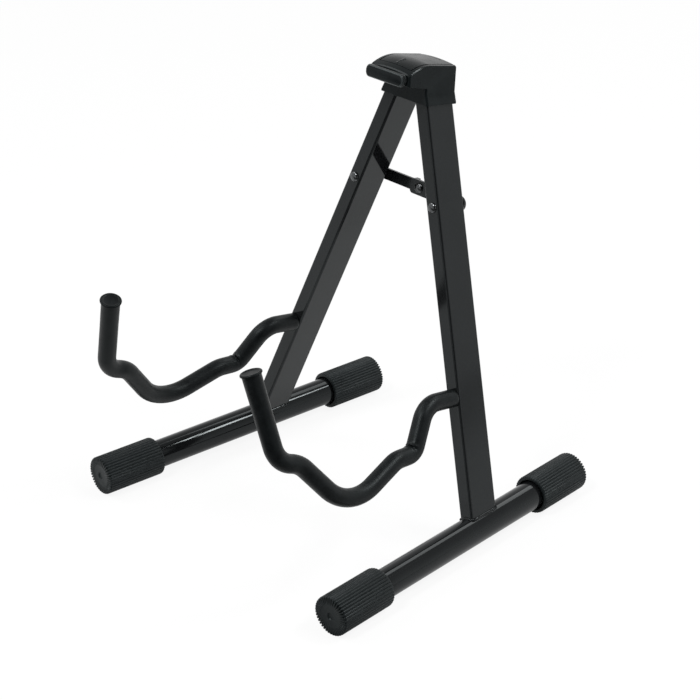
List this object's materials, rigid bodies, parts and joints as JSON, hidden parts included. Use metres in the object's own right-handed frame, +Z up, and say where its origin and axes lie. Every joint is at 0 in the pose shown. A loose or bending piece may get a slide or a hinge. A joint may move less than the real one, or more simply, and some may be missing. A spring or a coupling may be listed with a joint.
{
  "type": "guitar stand",
  "caption": "Folding A-frame guitar stand: legs hinged in a plastic head, foam-covered cradle arms, ribbed rubber feet, a soft bumper and a folding brace.",
  "frame": {"origin": "on the floor, in the middle of the stand's bounding box", "axes": "+Z up, +Y to the back, away from the cradle arms, +X to the right seen from the front"},
  "size_m": [0.3326, 0.3431, 0.3869],
  "materials": {
    "head_plastic": "satin black moulded ABS",
    "cover_plastic": "satin black moulded ABS",
    "bumper_rubber": "matte black soft rubber",
    "leg_enamel": "satin black enamel on steel",
    "tube_enamel": "gloss black enamel on steel",
    "foot_rubber": "matte black ribbed rubber",
    "bar_steel": "plain steel bar, hidden in the foam",
    "arm_foam": "matte black closed-cell foam rubber",
    "cap_rubber": "matte black rubber",
    "rivet_steel": "black plated steel",
    "link_steel": "satin black enamel on steel"
  },
  "bodies": {
    "head": {"head_housing": "head_plastic", "head_top_cover": "cover_plastic", "bumper_pad": "bumper_rubber", "right_hinge_pin": "rivet_steel", "left_hinge_pin": "rivet_steel"},
    "right_leg": {"right_leg_tube": "leg_enamel", "right_foot_tube": "tube_enamel", "right_front_foot": "foot_rubber", "right_rear_foot": "foot_rubber", "right_arm_bar": "bar_steel", "right_arm_foam": "arm_foam", "right_arm_tip_cap": "cap_rubber", "right_brace_pin": "rivet_steel"},
    "left_leg": {"left_leg_tube": "leg_enamel", "left_foot_tube": "tube_enamel", "left_front_foot": "foot_rubber", "left_rear_foot": "foot_rubber", "left_arm_bar": "bar_steel", "left_arm_foam": "arm_foam", "left_arm_tip_cap": "cap_rubber", "left_brace_pin": "rivet_steel", "left_brace_spacer": "rivet_steel"},
    "right_link": {"right_brace_link": "link_steel", "knee_rivet_front": "rivet_steel"},
    "left_link": {"left_brace_link": "link_steel", "knee_rivet_rear": "rivet_steel"}
  },
  "joints": [
    {"name": "right_leg_fold", "type": "hinge", "parent": "head", "child": "right_leg", "pos_m": [0.012, 0.10236, 0.36744], "axis": [0, 0.9863, -0.165], "range_deg": [0, 18]},
    {"name": "left_leg_fold", "type": "hinge", "parent": "head", "child": "left_leg", "pos_m": [-0.012, 0.10236, 0.36744], "axis": [0, -0.9863, 0.165], "range_deg": [0, 18]},
    {"name": "right_link_turn", "type": "hinge", "parent": "right_leg", "child": "right_link", "pos_m": [0.04664, 0.08603, 0.26988], "axis": [0, 0.9863, -0.165], "range_deg": [0, 54]},
    {"name": "left_link_turn", "type": "hinge", "parent": "left_leg", "child": "left_link", "pos_m": [-0.04664, 0.08603, 0.26988], "axis": [0, -0.9863, 0.165], "range_deg": [0, 54]}
  ],
  "couplings": [
    {"joint": "left_leg_fold", "follows": "right_leg_fold", "ratio": 1},
    {"joint": "right_link_turn", "follows": "right_leg_fold", "ratio": 3},
    {"joint": "left_link_turn", "follows": "right_leg_fold", "ratio": 3}
  ]
}
